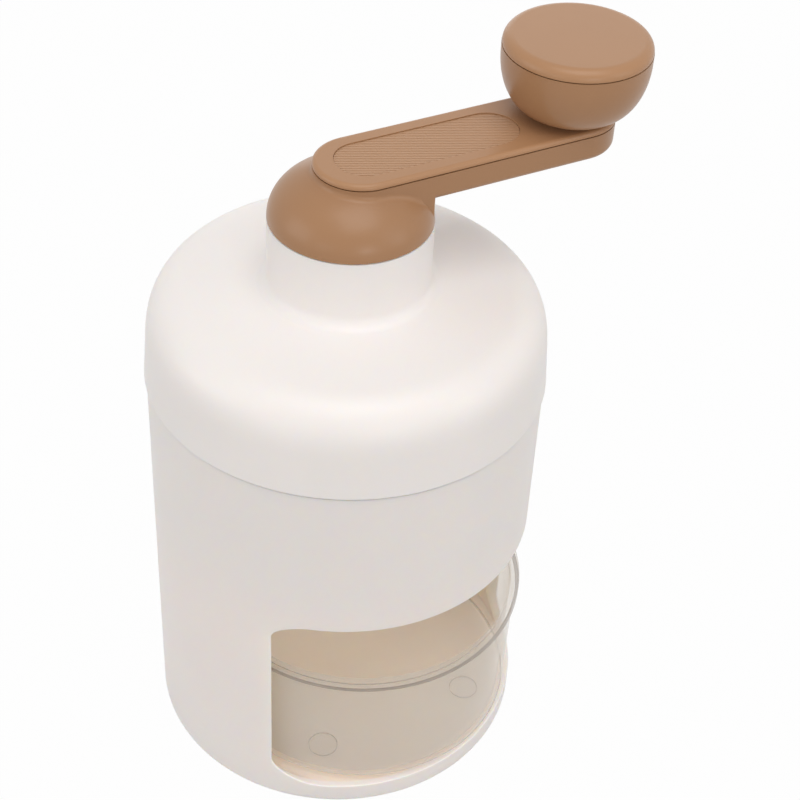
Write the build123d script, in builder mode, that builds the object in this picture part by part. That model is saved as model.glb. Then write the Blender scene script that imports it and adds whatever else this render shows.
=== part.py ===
from build123d import *
from math import asin, cos, degrees, hypot, pi, radians, sin, sqrt, tan
import os

# Hand-cranked ice shaver: a white round housing with a window for a clear cup, a white lid with a
# neck, and a brown crank with a turning knob. Millimetres. Z is up, the origin is the centre of the
# underside, the window faces -Y. A piece's "base" or "top" is a height above the table.

os.makedirs("parts", exist_ok=True)

# ---------------------------------------------------------------- driving dimensions
# clearances
bearing_clearance = 0.05      # radial, a turning shaft in its bush
thread_clearance = 0.05       # radial, a screw in its own hole
washer_clearance = 0.1        # radial, a washer round its shaft
seat_gap = 0.3                # between touching faces of pieces that move apart
slide_clearance = 0.4         # radial, between the lid, the housing's collar and the ice chamber
cup_side_clearance = 1.2      # between the rim of the cup and each side of the window
edge_tolerance = 0.01         # how near to a face an edge has to lie to count as on it

# housing
body_radius = 55.0
body_wall = 2.4
body_height = 125.4           # height of the shoulder that the lid stands on
body_base = 0.8               # the pad lifts the body off the table by this much
body_edge_radius = 2.5
body_lip_width = 1.6          # flat ring of the body under the base plate's edge
bay_floor_top = 8.6
bay_floor_wall = 2.2
window_height = 67.5
window_top_corner = 6.3
window_bottom_corner = 8.5
window_edge_radius = 0.3      # rounding of the window's outer edge
collar_height = 8.0
collar_wall = 2.0
collar_blend_height = 4.4

# base
pad_thickness = 1.6
pad_margin = 1.6              # from the edge of the pad to the edge of the plate
pad_edge_chamfer = 0.4
plate_thickness = 2.4
plate_clearance = 0.3
base_screw_distance = 35.0    # from the axis
base_screw_count = 3
boss_wall = 2.2               # round a screw or an insert
screw_radius = 1.4
screw_head_radius = 2.7
screw_head_height = 1.4
screw_tip_cover = 0.8         # material left over the tip of a screw
drive_length = 1.2            # cross recess of a screw head, as shares of its radius and height
drive_width = 0.3
drive_depth = 0.5

# ice chamber and blade
chamber_wall = 2.0
chamber_depth = 47.9
chamber_floor_wall = 2.5
chamber_flange_height = 1.5
blade_tilt = 25.0
blade_thickness = 1.0
blade_width = 15.0
blade_inner_end = 8.0
blade_end_margin = 4.0        # from the blade to the wall of the chamber
blade_rise = 0.7              # height of the cutting edge above the chamber floor
blade_bevel = 1.6
throat_width = 3.6            # gap in front of the cutting edge
blade_edge_y = -1.5
blade_seat_margin = 1.6
blade_screw_spacing = 22.0
blade_screw_length = 3.0
blade_screw_place = 11.0       # from the cutting edge, down the blade
blade_lip = 0.6               # blunt edge of the floor over the blade
blade_clearance = 0.5

# lid
cover_step = 0.6              # how far the lid's lower edge stands out over the body
cover_wall = 2.2
cover_straight_height = 13.9
cover_inset = 1.0             # the side of the lid leans in this much
shoulder_width = 10.4
shoulder_height = 13.1
cover_top_rise = 2.4          # the ring between shoulder and neck climbs this much
neck_radius = 22.0
neck_wall = 2.2
neck_foot_radius = 3.4
neck_height = 19.75           # above the ring round its foot
neck_deck_wall = 2.4
cover_edge_chamfer = 0.5
lug_count = 3
lug_width = 7.0
lug_height = 2.6
lug_lift = 1.9                # lug above the lower edge of the lid
lug_reach = 1.6               # how far a lug stands in from the skirt
lug_turn = 22.0               # degrees of turn that lock the lid
lug_clearance = 0.3
lug_side_clearance = 0.6
root_sink = 0.6               # how deep a rib, a lug or a foot is rooted in its wall
seal_rib_width = 1.6
seal_thickness = 1.4
seal_width = 2.0

# shaft and bushes
bush_wall = 3.0
bush_length = 9.0
bush_tube_wall = 2.5
bush_tube_length = 25.2
web_thickness = 1.6
web_count = 4
shaft_radius = 5.0
shaft_flat_width = 8.0        # across flats of the hexagonal part
shaft_square = 7.0
shaft_screw_depth = 12.0
hub_screw_radius = 2.0
hub_screw_head_radius = 3.6
hub_screw_head_height = 2.2
washer_thickness = 0.8
thrust_washer_margin = 1.0    # from the washer's edge to the edge of the bush tube
thrust_washer_thickness = 1.2
clip_step = 2.0               # how far the clip stands out of the shaft
clip_thickness = 1.0
clip_groove_depth = 1.5
clip_gap_angle = 60.0
spring_seat_margin = 1.3      # round the spring's outside
journal_margin = 1.6          # the round part of the shaft starts this far below the spring's seat

# presser and spring
presser_running_gap = 1.2
presser_thickness = 3.0
presser_rim_height = 6.0
presser_rim_wall = 1.8
presser_hub_margin = 1.7      # round the spring's outside
presser_hub_height = 8.3
presser_tooth_height = 4.0
presser_tooth_width = 3.0
presser_tooth_count = 6
presser_tooth_inner = 12.0
presser_above_blade = 1.0     # tooth tips above the cutting edge at the presser's lowest place
presser_hex_clearance = 0.2
pin_radius = 1.2
pin_drop = 3.4
pin_tip_chamfer = 0.6
pin_margin = 6.8              # from the outer pins to the presser's edge
pin_spacing = 10.0
pin_circle_count = 3
pins_per_circle = 3
pin_first_angle = 30.0        # the pins stand midway between the teeth
pin_circle_turn = 60.0        # from one circle of pins to the next
end_recess_radius = 8.0
end_recess_depth = 1.8
end_washer_radius = 7.0
end_washer_thickness = 1.2
end_screw_radius = 2.0
end_screw_head_radius = 3.5
end_screw_head_height = 1.8
end_screw_length = 14.0
spring_wire_radius = 0.7
spring_clearance = 0.9        # radial, between the spring and the shaft
spring_turns = 7

# crank
crank_angle = -17.7           # the arm's direction at rest, from +X
dome_inset = 0.1              # how far the dome's edge stands in from the neck
dome_height = 14.5
dome_wall = 2.2
arm_near = 2.3                # centre of the arm's near end, from the shaft
arm_length = 65.0             # shaft to knob
arm_half_width = 12.4
arm_depth = 7.4
arm_wall = 1.8
arm_floor_wall = 2.3
arm_edge_radius = 2.0
arm_blend_radius = 1.6
arm_web_inset = 0.3           # the web under the arm stands in from the dome's edge
hub_radius = 8.0
hub_socket_clearance = 0.1
hub_roof = 1.0                # the socket ends this far under the arm's floor
cover_plate_gap = 0.2
cover_plate_height = 1.6
cover_plate_edge_radius = 1.2
cover_lip_height = 1.3
cover_lip_clearance = 0.2
recess_margin = 4.3           # from the recess to the long edges of the arm
recess_near = 3.5
recess_end_margin = 25.0      # from the centre of its far end to the knob
recess_depth = 0.8
inlay_clearance = 0.1
inlay_base_height = 0.4
inlay_rib_height = 0.12
inlay_rib_pitch = 0.8
inlay_rib_width = 0.5
inlay_rib_angle = -23.7       # ribs against the arm's direction
arm_screw_places = (23.0, 44.0)

# knob
knob_radius = 20.0
knob_wall = 2.0
knob_straight_height = 2.5
knob_bottom_radius = 11.2
knob_bowl_height = 17.6
knob_floor_wall = 2.2
knob_above_arm = 1.25
knob_cap_inset = 0.1
knob_cap_height = 3.0
knob_cap_edge_radius = 2.8
knob_cap_gap = 0.3
knob_cap_lip_height = 3.0
knob_cap_lip_wall = 1.6
knob_tube_wall = 2.2
knob_bush_wall = 1.95
knob_bush_length = 9.6
knob_spacer_radius = 7.0
axle_radius = 4.0
axle_thread_radius = 2.5
axle_thread_length = 5.0
axle_head_radius = 6.4
axle_head_height = 2.0
axle_slot_width = 1.2
axle_slot_depth = 1.0
insert_radius = 4.2
insert_depth = 5.2

# cup
cup_stand_out = 1.9           # how far the cup's rim stands out of the window
cup_margin = 4.6              # the rim is this much smaller than the bay
cup_rim_wall = 2.6
cup_rim_height = 3.0
cup_height = 45.1
cup_wall = 1.5
cup_inset = 0.7               # the side of the cup leans in this much
cup_edge_radius = 1.9
cup_foot_radius = 4.4
cup_foot_height = 0.9
cup_foot_margin = 11.2        # from the centre of a foot to the cup's side
cup_foot_angle = -61.0
cup_foot_count = 4
cup_foot_edge_radius = 0.5
cup_rim_edge_radius = 0.6

# ---------------------------------------------------------------- sizes that follow
bay_radius = body_radius - body_wall
body_bottom_bore = body_radius - body_edge_radius - body_lip_width
boss_radius = screw_radius + boss_wall
cover_skirt_radius = body_radius + cover_step
skirt_bore = cover_skirt_radius - cover_wall
collar_radius = skirt_bore - cover_inset * collar_height / cover_straight_height - slide_clearance
collar_bore = collar_radius - collar_wall
collar_top = body_height + collar_height
cup_rim_radius = bay_radius - cup_margin
window_half_width = cup_rim_radius + cup_side_clearance
lug_base = body_height + seat_gap + lug_lift
groove_base = lug_base - lug_clearance
groove_radius = skirt_bore - lug_reach - lug_clearance

plate_base = pad_thickness
plate_top = plate_base + plate_thickness
plate_radius = body_bottom_bore - plate_clearance
pad_radius = plate_radius - pad_margin
bay_floor_base = bay_floor_top - bay_floor_wall

chamber_radius = collar_bore - slide_clearance
chamber_flange_radius = groove_radius
chamber_bore = chamber_radius - chamber_wall
chamber_top = collar_top + chamber_flange_height
chamber_floor = chamber_top - chamber_depth
chamber_base = chamber_floor - chamber_floor_wall
blade_edge_z = chamber_floor + blade_rise
blade_slope = tan(radians(blade_tilt))
blade_outer_end = chamber_bore - blade_end_margin

cover_base = body_height + seat_gap
shoulder_base = cover_base + cover_straight_height
shoulder_radius = cover_skirt_radius - cover_inset
shoulder_top = shoulder_base + shoulder_height
ring_outer_radius = shoulder_radius - shoulder_width
neck_foot = shoulder_top + cover_top_rise
neck_bore = neck_radius - neck_wall
neck_top = neck_foot + neck_height
neck_deck_base = neck_top - neck_deck_wall
bush_radius = shaft_radius + bush_wall
bush_tube_radius = bush_radius + bush_tube_wall
bush_tube_base = neck_top - bush_tube_length
seal_top = chamber_top + seat_gap + seal_thickness
seal_radius = (chamber_bore + chamber_flange_radius) / 2

dome_base = neck_top + seat_gap
dome_radius = neck_radius - dome_inset
arm_top = dome_base + dome_height
arm_base = arm_top - arm_depth
arm_floor_top = arm_base + arm_floor_wall
hub_base = dome_base + washer_thickness
socket_top = arm_floor_top - hub_roof
shaft_top = socket_top - seat_gap
journal_base = bush_tube_base - seat_gap - thrust_washer_thickness
thrust_washer_radius = bush_tube_radius - thrust_washer_margin
clip_base = journal_base - clip_thickness
clip_radius = shaft_radius + clip_step
clip_groove_radius = shaft_radius - clip_groove_depth
spring_top = clip_base - washer_thickness
spring_mean_radius = shaft_radius + spring_clearance + spring_wire_radius
spring_outer_radius = spring_mean_radius + spring_wire_radius
spring_seat_radius = spring_outer_radius + spring_seat_margin

presser_radius = chamber_bore - presser_running_gap
presser_tip = blade_edge_z + presser_above_blade
presser_base = presser_tip + presser_tooth_height
presser_top = presser_base + presser_thickness
presser_hub_top = presser_top + presser_hub_height
presser_hub_radius = spring_outer_radius + presser_hub_margin
pin_circles = [presser_radius - pin_margin - pin_spacing * step for step in range(pin_circle_count)]
shaft_base = presser_base + end_recess_depth - seat_gap
end_washer_base = shaft_base - end_washer_thickness

plate_under = arm_top - cover_lip_height + cover_plate_gap
plate_seat = arm_top + cover_plate_gap
arm_cover_top = plate_seat + cover_plate_height
recess_floor = arm_cover_top - recess_depth
recess_half_width = arm_half_width - recess_margin
recess_far = arm_length - recess_end_margin
knob_base = arm_cover_top + knob_above_arm
knob_seam = knob_base + knob_bowl_height
knob_cap_base = knob_seam + knob_cap_gap
knob_cap_top = knob_cap_base + knob_cap_height
knob_cap_radius = knob_radius - knob_cap_inset
axle_bore = axle_radius + bearing_clearance
knob_bush_radius = axle_bore + knob_bush_wall
knob_tube_radius = knob_bush_radius + knob_tube_wall
insert_boss_radius = insert_radius + boss_wall
insert_top = plate_under - seat_gap
insert_base = insert_top - insert_depth
knob_washer_base = knob_base + knob_bush_length + seat_gap
arm_screw_points = [(place, 0) for place in arm_screw_places]

cup_offset = body_radius + cup_stand_out - cup_rim_radius
cup_base = bay_floor_top + seat_gap
cup_floor_base = cup_base + cup_foot_height
cup_top = cup_base + cup_height
cup_wall_radius = cup_rim_radius - cup_rim_wall + cup_wall
cup_base_radius = cup_wall_radius - cup_inset
cup_foot_circle = cup_base_radius - cup_foot_margin


def arm_level(height):
    """Horizontal plane whose X runs along the arm at rest."""
    return Plane.XY.rotated((0, 0, crank_angle)).offset(height)


def round_level(height, x=0.0, y=0.0):
    """Horizontal plane centred above (x, y)."""
    return Plane((x, y, height))


knob_x = arm_length * cos(radians(crank_angle))
knob_y = arm_length * sin(radians(crank_angle))


def ring(base, height, outer, inner, x=0.0, y=0.0):
    """A washer, a bush or a pad: a round of the given height with an optional bore."""
    with BuildPart() as piece:
        with BuildSketch(round_level(base, x, y)):
            Circle(outer)
            if inner > 0:
                Circle(inner, mode=Mode.SUBTRACT)
        extrude(amount=height)
    return piece


def arm_slot(near, far, half_width):
    """Stadium along the arm, from the centre of one end to the centre of the other."""
    with Locations(((near + far) / 2, 0)):
        SlotCenterToCenter(far - near, 2 * half_width)


# ---------------------------------------------------------------- housing
def window_outline():
    """Window seen from the front: a rounded rectangle standing on the bay's floor."""
    low = bay_floor_top
    high = bay_floor_top + window_height
    middle = (low + high) / 2
    side = window_half_width
    with BuildSketch(Plane.XZ) as outline:
        with BuildLine():
            FilletPolyline(
                (-side, middle),
                (-side, low),
                (side, low),
                (side, middle),
                radius=window_bottom_corner,
            )
            FilletPolyline(
                (side, middle),
                (side, high),
                (-side, high),
                (-side, middle),
                radius=window_top_corner,
            )
        make_face()
    return outline.sketch


def on_body_side(edge):
    """Whether an edge lies on the housing's round outer face."""
    middle = edge @ 0.5
    return abs(hypot(middle.X, middle.Y) - body_radius) < edge_tolerance


with BuildPart() as main_housing:
    with BuildSketch(Plane.XZ):
        Polygon(
            (body_bottom_bore, body_base),
            (body_radius, body_base),
            (body_radius, body_height),
            (collar_radius, body_height),
            (collar_radius, collar_top),
            (collar_bore, collar_top),
            (collar_bore, body_height),
            (bay_radius, body_height - collar_blend_height),
            (bay_radius, bay_floor_top),
            (0, bay_floor_top),
            (0, bay_floor_base),
            (body_bottom_bore, bay_floor_base),
            align=None,
        )
    revolve(axis=Axis.Z)
    outer_edges = main_housing.edges().filter_by(GeomType.CIRCLE)
    fillet(outer_edges.filter_by(lambda e: e.radius == body_radius).sort_by(Axis.Z)[0], body_edge_radius)
    extrude(window_outline(), amount=body_radius + body_wall, mode=Mode.SUBTRACT)
    fillet(main_housing.edges(Select.NEW).filter_by(on_body_side), window_edge_radius)
    with BuildSketch(Plane.XY.offset(plate_top)):
        with PolarLocations(base_screw_distance, base_screw_count):
            Circle(boss_radius)
    extrude(amount=bay_floor_base - plate_top)
    with BuildSketch(Plane.XY.offset(plate_top)):
        with PolarLocations(base_screw_distance, base_screw_count):
            Circle(screw_radius + thread_clearance)
    extrude(amount=bay_floor_top - screw_tip_cover - plate_top, mode=Mode.SUBTRACT)
    groove_depth = body_radius - groove_radius
    for turn in range(lug_count):
        lug_angle = turn * 360 / lug_count
        with BuildSketch(Plane.XY.rotated((0, 0, lug_angle)).offset(groove_base)):
            with Locations((groove_radius, 0)):
                Rectangle(
                    groove_depth,
                    lug_width + 2 * lug_side_clearance,
                    align=(Align.MIN, Align.CENTER),
                )
        extrude(amount=collar_top - groove_base, mode=Mode.SUBTRACT)
        with BuildSketch(Plane.XZ.rotated((0, 0, lug_angle))):
            with Locations((groove_radius, groove_base)):
                Rectangle(groove_depth, lug_height + 2 * lug_clearance, align=Align.MIN)
        revolve(axis=Axis.Z, revolution_arc=lug_turn, mode=Mode.SUBTRACT)

main_housing.part.label = "main_housing"
export_step(main_housing.part, "parts/main_housing.step")


# ---------------------------------------------------------------- base
def screws(level, places, head_radius, head_height, shank_radius, length):
    """Equal screws whose heads lie on the level and whose shanks point along its normal."""
    with BuildPart() as group:
        with BuildSketch(level):
            with Locations(*places):
                Circle(head_radius)
        extrude(amount=head_height)
        with BuildSketch(level.offset(head_height)):
            with Locations(*places):
                Circle(shank_radius)
        extrude(amount=length)
        with BuildSketch(level):
            with Locations(*places):
                Rectangle(drive_length * head_radius, drive_width * head_radius)
                Rectangle(drive_width * head_radius, drive_length * head_radius)
        extrude(amount=drive_depth * head_height, mode=Mode.SUBTRACT)
    return group


base_screw_places = []
for turn in range(base_screw_count):
    place_angle = radians(turn * 360 / base_screw_count)
    place_x = base_screw_distance * cos(place_angle)
    place_y = base_screw_distance * sin(place_angle)
    base_screw_places.append((place_x, place_y))

with BuildPart() as base_plate:
    with BuildSketch(Plane.XY.offset(plate_base)):
        Circle(plate_radius)
    extrude(amount=plate_thickness)
    with BuildSketch(Plane.XY.offset(plate_base)):
        with Locations(*base_screw_places):
            Circle(screw_head_radius + plate_clearance)
    extrude(amount=screw_head_height, mode=Mode.SUBTRACT)
    with BuildSketch(Plane.XY.offset(plate_base)):
        with Locations(*base_screw_places):
            Circle(screw_radius + plate_clearance)
    extrude(amount=plate_thickness, mode=Mode.SUBTRACT)

base_plate.part.label = "base_plate"
export_step(base_plate.part, "parts/base_plate.step")

base_screws = screws(
    Plane.XY.offset(plate_base),
    base_screw_places,
    screw_head_radius,
    screw_head_height,
    screw_radius,
    bay_floor_top - screw_tip_cover - plate_base - screw_head_height,
)
base_screws.part.label = "base_screws"
export_step(base_screws.part, "parts/base_screws.step")

with BuildPart() as base_pad:
    with BuildSketch():
        Circle(pad_radius)
    extrude(amount=pad_thickness)
    chamfer(base_pad.edges().group_by(Axis.Z)[0], pad_edge_chamfer)

base_pad.part.label = "base_pad"
export_step(base_pad.part, "parts/base_pad.step")


# ---------------------------------------------------------------- ice chamber and blade
def blade_plane(distance):
    """Section plane across the blade: X down the blade from the cutting edge, Y off its face."""
    tilt = radians(blade_tilt)
    return Plane(
        origin=(distance, blade_edge_y, blade_edge_z),
        x_dir=(0, cos(tilt), -sin(tilt)),
        z_dir=(1, 0, 0),
    )


def blade_face_z(y):
    """Height of the blade's upper face."""
    return blade_edge_z - (y - blade_edge_y) * blade_slope


def blade_face_y(z):
    """Where the blade's upper face reaches a height."""
    return blade_edge_y + (blade_edge_z - z) / blade_slope


blade_middle = (blade_inner_end + blade_outer_end) / 2
blade_length = blade_outer_end - blade_inner_end
blade_screw_places = [(-blade_screw_spacing / 2, 0), (blade_screw_spacing / 2, 0)]
blade_tilt_rad = radians(blade_tilt)
screw_seat_y = blade_edge_y + blade_screw_place * cos(blade_tilt_rad)
screw_seat_z = blade_edge_z - blade_screw_place * sin(blade_tilt_rad)
screw_drop = blade_thickness + screw_head_height
blade_screw_level = Plane(
    origin=(
        blade_middle,
        screw_seat_y - screw_drop * sin(blade_tilt_rad),
        screw_seat_z - screw_drop * cos(blade_tilt_rad),
    ),
    x_dir=(1, 0, 0),
    z_dir=(0, sin(blade_tilt_rad), cos(blade_tilt_rad)),
)

with BuildPart() as ice_chamber:
    with BuildSketch(Plane.XZ):
        Polygon(
            (0, chamber_base),
            (chamber_radius, chamber_base),
            (chamber_radius, collar_top),
            (chamber_flange_radius, collar_top),
            (chamber_flange_radius, chamber_top),
            (chamber_bore, chamber_top),
            (chamber_bore, chamber_floor),
            (0, chamber_floor),
            align=None,
        )
    revolve(axis=Axis.Z)
    seat_end_y = blade_edge_y + (blade_width + blade_seat_margin) * cos(blade_tilt_rad)
    with BuildSketch(Plane.YZ.offset(blade_inner_end - blade_seat_margin)):
        Polygon(
            (blade_face_y(chamber_base) - blade_seat_margin, chamber_base),
            (blade_face_y(chamber_base), chamber_base),
            (seat_end_y, blade_face_z(seat_end_y)),
            (seat_end_y, chamber_floor - blade_lip),
            (blade_face_y(chamber_base) - blade_seat_margin, chamber_floor - blade_lip),
            align=None,
        )
    extrude(amount=blade_length + 2 * blade_seat_margin)
    throat_front = blade_edge_y - throat_width
    lip_y = blade_face_y(chamber_floor - blade_lip)
    under = chamber_base - blade_width
    with BuildSketch(Plane.YZ.offset(blade_inner_end - blade_clearance)):
        Polygon(
            (throat_front, under),
            (throat_front, chamber_floor + blade_rise),
            (lip_y, chamber_floor + blade_rise),
            (lip_y, blade_face_z(lip_y)),
            (blade_face_y(under), under),
            align=None,
        )
    extrude(amount=blade_length + 2 * blade_clearance, mode=Mode.SUBTRACT)
    with BuildSketch(blade_screw_level):
        with Locations(*blade_screw_places):
            Circle(screw_radius + thread_clearance)
    extrude(amount=screw_drop + blade_screw_length + thread_clearance, mode=Mode.SUBTRACT)

ice_chamber.part.label = "ice_chamber"
export_step(ice_chamber.part, "parts/ice_chamber.step")

with BuildPart() as shaving_blade:
    with BuildSketch(blade_plane(blade_inner_end)):
        Polygon(
            (0, 0),
            (blade_width, 0),
            (blade_width, -blade_thickness),
            (blade_bevel, -blade_thickness),
            align=None,
        )
    extrude(amount=blade_length)
    with BuildSketch(blade_screw_level):
        with Locations(*blade_screw_places):
            Circle(screw_radius + thread_clearance)
    extrude(amount=2 * screw_drop, mode=Mode.SUBTRACT)

shaving_blade.part.label = "shaving_blade"
export_step(shaving_blade.part, "parts/shaving_blade.step")

blade_screws = screws(
    blade_screw_level,
    blade_screw_places,
    screw_head_radius,
    screw_head_height,
    screw_radius,
    blade_thickness + blade_screw_length,
)
blade_screws.part.label = "blade_screws"
export_step(blade_screws.part, "parts/blade_screws.step")


# ---------------------------------------------------------------- lid
def shoulder_z(radius):
    """Height of the lid's rounded shoulder at a radius."""
    share = (radius - ring_outer_radius) / shoulder_width
    return shoulder_base + shoulder_height * sqrt(1 - share * share)


def shoulder_curve(inset):
    """Shoulder of the lid's section, moved inwards by the inset."""
    with BuildLine() as curve:
        Spline(
            (shoulder_radius - inset, shoulder_base),
            (
                ring_outer_radius + (shoulder_width - inset) * sqrt(0.5),
                shoulder_base + (shoulder_height - inset) * sqrt(0.5),
            ),
            (ring_outer_radius, shoulder_top - inset),
            tangents=[
                (-cover_inset, cover_straight_height),
                (neck_radius + neck_foot_radius - ring_outer_radius, cover_top_rise),
            ],
        )
    return curve.line


with BuildPart() as top_cover:
    neck_foot_x = neck_radius + neck_foot_radius
    neck_foot_z = neck_foot + neck_foot_radius
    with BuildSketch(Plane.XZ):
        with BuildLine():
            Line((cover_skirt_radius, cover_base), (shoulder_radius, shoulder_base))
            add(shoulder_curve(0))
            Line((ring_outer_radius, shoulder_top), (neck_foot_x, neck_foot))
            CenterArc((neck_foot_x, neck_foot_z), neck_foot_radius, 180, 90)
            Polyline(
                (neck_radius, neck_foot_z),
                (neck_radius, neck_top),
                (bush_radius, neck_top),
                (bush_radius, bush_tube_base),
                (bush_tube_radius, bush_tube_base),
                (bush_tube_radius, neck_deck_base),
                (neck_bore, neck_deck_base),
                (neck_bore, neck_foot_z),
            )
            CenterArc((neck_foot_x, neck_foot_z), neck_foot_radius + neck_wall, 180, 90)
            Line((neck_foot_x, neck_foot - cover_wall), (ring_outer_radius, shoulder_top - cover_wall))
            add(shoulder_curve(cover_wall))
            Polyline(
                (shoulder_radius - cover_wall, shoulder_base),
                (skirt_bore, cover_base),
                (cover_skirt_radius, cover_base),
            )
        make_face()
    revolve(axis=Axis.Z)
    lower_edges = top_cover.edges().filter_by(GeomType.CIRCLE).group_by(Axis.Z)[0]
    chamfer(lower_edges.sort_by(SortBy.RADIUS)[-1], cover_edge_chamfer)
    with BuildSketch(Plane.XY.offset(neck_foot_z)):
        with PolarLocations((bush_tube_radius + neck_bore) / 2, web_count):
            Rectangle(neck_bore - bush_tube_radius + neck_wall, web_thickness)
    extrude(amount=neck_deck_base - neck_foot_z)
    rib_inner = seal_radius - seal_rib_width / 2
    rib_outer = seal_radius + seal_rib_width / 2
    rib_root = cover_wall - root_sink
    with BuildSketch(Plane.XZ):
        Polygon(
            (rib_inner, seal_top),
            (rib_outer, seal_top),
            (rib_outer, shoulder_z(rib_outer) - rib_root),
            (rib_inner, shoulder_z(rib_inner) - rib_root),
            align=None,
        )
    revolve(axis=Axis.Z)
    with BuildSketch(Plane.XY.offset(lug_base)):
        with PolarLocations(skirt_bore - lug_reach, lug_count):
            Rectangle(lug_reach + root_sink, lug_width, align=(Align.MIN, Align.CENTER))
    extrude(amount=lug_height)

top_cover.part.label = "top_cover"
export_step(top_cover.part, "parts/top_cover.step")

cover_seal = ring(
    chamber_top + seat_gap,
    seal_thickness,
    seal_radius + seal_width / 2,
    seal_radius - seal_width / 2,
)
cover_seal.part.label = "cover_seal"
export_step(cover_seal.part, "parts/cover_seal.step")

upper_bush = ring(neck_top - bush_length, bush_length, bush_radius, shaft_radius + bearing_clearance)
upper_bush.part.label = "upper_bush"
export_step(upper_bush.part, "parts/upper_bush.step")

lower_bush = ring(bush_tube_base, bush_length, bush_radius, shaft_radius + bearing_clearance)
lower_bush.part.label = "lower_bush"
export_step(lower_bush.part, "parts/lower_bush.step")

# ---------------------------------------------------------------- shaft
journal_start = spring_top - journal_margin

with BuildPart() as drive_shaft:
    with BuildSketch(Plane.XY.offset(shaft_base)):
        RegularPolygon(shaft_flat_width / 2, 6, major_radius=False)
    extrude(amount=journal_start - shaft_base)
    with BuildSketch(Plane.XY.offset(journal_start)):
        Circle(shaft_radius)
    extrude(amount=hub_base - journal_start)
    with BuildSketch(arm_level(hub_base)):
        Rectangle(shaft_square, shaft_square)
    extrude(amount=shaft_top - hub_base)
    with BuildSketch(Plane.XY.offset(clip_base)):
        Circle(2 * shaft_radius)
        Circle(clip_groove_radius, mode=Mode.SUBTRACT)
    extrude(amount=clip_thickness, mode=Mode.SUBTRACT)
    with BuildSketch(Plane.XY.offset(shaft_top)):
        Circle(hub_screw_radius + thread_clearance)
    extrude(amount=-shaft_screw_depth, mode=Mode.SUBTRACT)
    with BuildSketch(Plane.XY.offset(shaft_base)):
        Circle(end_screw_radius + thread_clearance)
    extrude(amount=shaft_screw_depth, mode=Mode.SUBTRACT)

drive_shaft.part.label = "drive_shaft"
export_step(drive_shaft.part, "parts/drive_shaft.step")

shaft_bore = shaft_radius + washer_clearance

thrust_washer = ring(journal_base, thrust_washer_thickness, thrust_washer_radius, shaft_bore)
thrust_washer.part.label = "thrust_washer"
export_step(thrust_washer.part, "parts/thrust_washer.step")

with BuildPart() as shaft_clip:
    with BuildSketch(Plane.XY.offset(clip_base)):
        Circle(clip_radius)
        Circle(clip_groove_radius + thread_clearance, mode=Mode.SUBTRACT)
        with BuildLine():
            Polyline(
                (0, 0),
                (2 * clip_radius, -2 * clip_radius * tan(radians(clip_gap_angle / 2))),
                (2 * clip_radius, 2 * clip_radius * tan(radians(clip_gap_angle / 2))),
                close=True,
            )
        make_face(mode=Mode.SUBTRACT)
    extrude(amount=clip_thickness)

shaft_clip.part.label = "shaft_clip"
export_step(shaft_clip.part, "parts/shaft_clip.step")

spring_seat = ring(spring_top, washer_thickness, spring_seat_radius, shaft_bore)
spring_seat.part.label = "spring_seat"
export_step(spring_seat.part, "parts/spring_seat.step")

hub_washer = ring(dome_base, washer_thickness, hub_radius - seat_gap, shaft_bore)
hub_washer.part.label = "hub_washer"
export_step(hub_washer.part, "parts/hub_washer.step")

hub_screw_washer = ring(arm_floor_top, washer_thickness, hub_radius, hub_screw_radius + seat_gap)
hub_screw_washer.part.label = "hub_screw_washer"
export_step(hub_screw_washer.part, "parts/hub_screw_washer.step")

hub_screw_top = arm_floor_top + washer_thickness + hub_screw_head_height
hub_screw = screws(
    Plane(origin=(0, 0, hub_screw_top), x_dir=(1, 0, 0), z_dir=(0, 0, -1)),
    [(0, 0)],
    hub_screw_head_radius,
    hub_screw_head_height,
    hub_screw_radius,
    hub_screw_top - hub_screw_head_height - shaft_top + shaft_screw_depth - seat_gap,
)
hub_screw.part.label = "hub_screw"
export_step(hub_screw.part, "parts/hub_screw.step")

# ---------------------------------------------------------------- presser
with BuildPart() as presser_plate:
    with BuildSketch(Plane.XY.offset(presser_base)):
        Circle(presser_radius)
    extrude(amount=presser_thickness)
    with BuildSketch(Plane.XY.offset(presser_top)):
        Circle(presser_radius)
        Circle(presser_radius - presser_rim_wall, mode=Mode.SUBTRACT)
    extrude(amount=presser_rim_height)
    with BuildSketch(Plane.XY.offset(presser_top)):
        Circle(presser_hub_radius)
    extrude(amount=presser_hub_height)
    tooth_length = presser_radius - presser_rim_wall - presser_tooth_inner
    with BuildSketch(Plane.XY.offset(presser_tip)):
        with PolarLocations(presser_tooth_inner, presser_tooth_count):
            Rectangle(tooth_length, presser_tooth_width, align=(Align.MIN, Align.CENTER))
    extrude(amount=presser_tooth_height)
    with BuildSketch(Plane.XY.offset(presser_base)):
        Circle(end_recess_radius)
    extrude(amount=end_recess_depth, mode=Mode.SUBTRACT)
    with BuildSketch(Plane.XY.offset(presser_base)):
        RegularPolygon(shaft_flat_width / 2 + presser_hex_clearance, 6, major_radius=False)
    extrude(amount=presser_hub_top - presser_base, mode=Mode.SUBTRACT)
    for turn, pin_circle in enumerate(pin_circles):
        pin_start = pin_first_angle + pin_circle_turn * turn
        with BuildSketch(Plane.XY.offset(presser_base)):
            with PolarLocations(pin_circle, pins_per_circle, start_angle=pin_start):
                Circle(pin_radius)
        extrude(amount=presser_thickness, mode=Mode.SUBTRACT)

presser_plate.part.label = "presser_plate"
export_step(presser_plate.part, "parts/presser_plate.step")

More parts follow.
